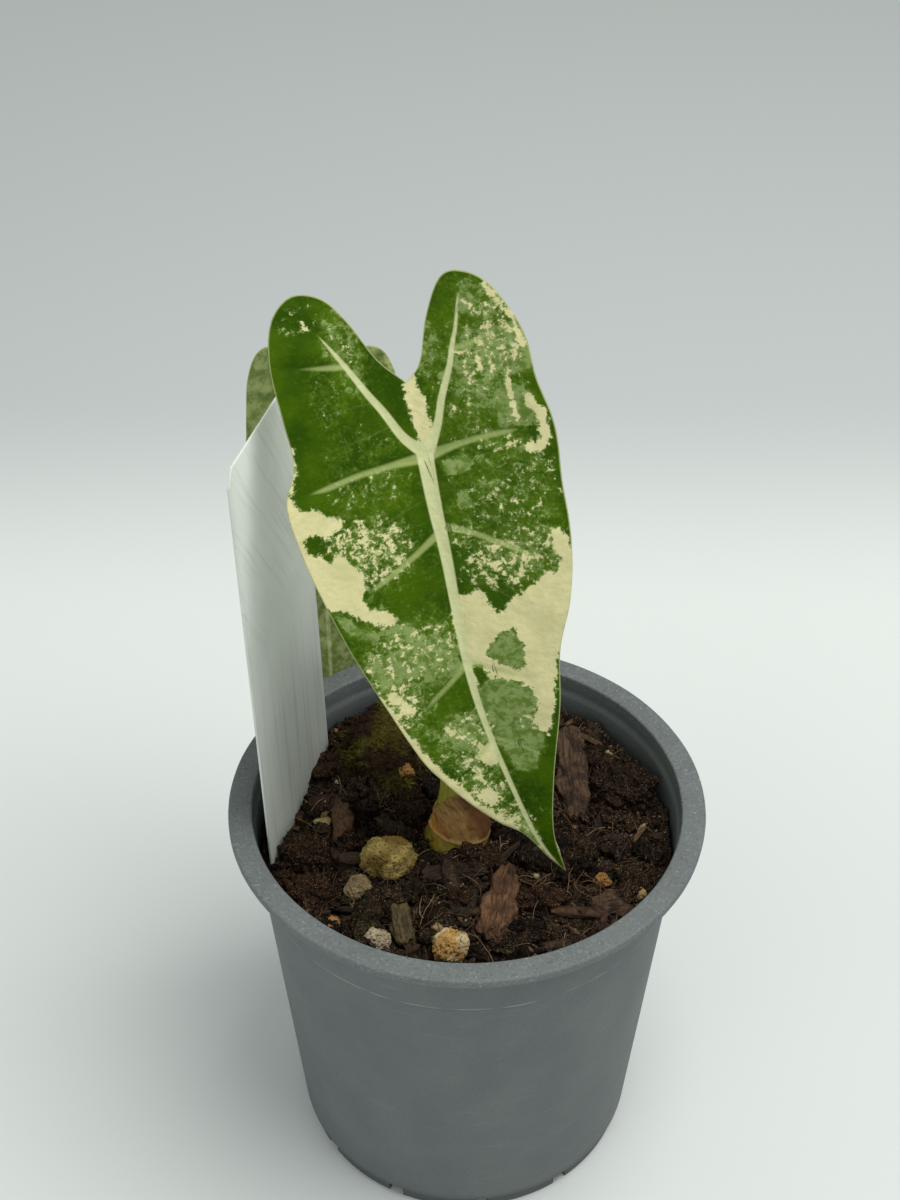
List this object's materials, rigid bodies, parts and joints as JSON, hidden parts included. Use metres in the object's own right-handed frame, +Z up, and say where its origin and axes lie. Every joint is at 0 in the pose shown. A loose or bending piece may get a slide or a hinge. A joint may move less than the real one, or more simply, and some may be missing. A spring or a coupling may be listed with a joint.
{
  "type": "potted alocasia",
  "caption": "Small variegated alocasia with arrow-shaped leaves, growing from a corm in a round grey nursery pot of peat mix, with a blank stick-in label.",
  "frame": {"origin": "centre of the pot's base, on the surface the pot stands on", "axes": "+Z up along the pot's axis; the larger leaf hangs towards -Y and faces that way"},
  "size_m": [0.105, 0.1057, 0.2189],
  "materials": {
    "pot_plastic": "matte",
    "peat_mix": "matte",
    "pumice": "matte",
    "bark": "matte",
    "moss": "matte",
    "corm_skin": "satin",
    "dry_scale": "matte",
    "petiole": "satin",
    "front_leaf_blade": "satin",
    "back_leaf_blade": "satin",
    "label_plastic": "satin"
  },
  "bodies": {
    "root": {"pot": "pot_plastic", "soil": "peat_mix", "plant_label": "label_plastic", "corm": "corm_skin", "corm_sheath": "dry_scale", "front_petiole": "petiole", "back_petiole": "petiole", "front_leaf": "front_leaf_blade", "back_leaf": "back_leaf_blade", "moss_cushion": "moss", "pumice_1": "pumice", "pumice_2": "pumice", "pumice_3": "pumice", "pumice_4": "pumice", "pumice_5": "pumice", "pumice_6": "pumice", "pumice_7": "pumice", "pumice_8": "pumice", "pumice_9": "pumice", "pumice_10": "pumice", "pumice_11": "pumice", "pumice_12": "pumice", "bark_1": "bark", "bark_2": "bark", "bark_3": "bark", "bark_4": "bark", "bark_5": "bark", "peat_lump_left": "peat_mix", "peat_lump_front": "peat_mix", "peat_lump_right": "peat_mix", "peat_lump_middle": "peat_mix"}
  },
  "joints": []
}
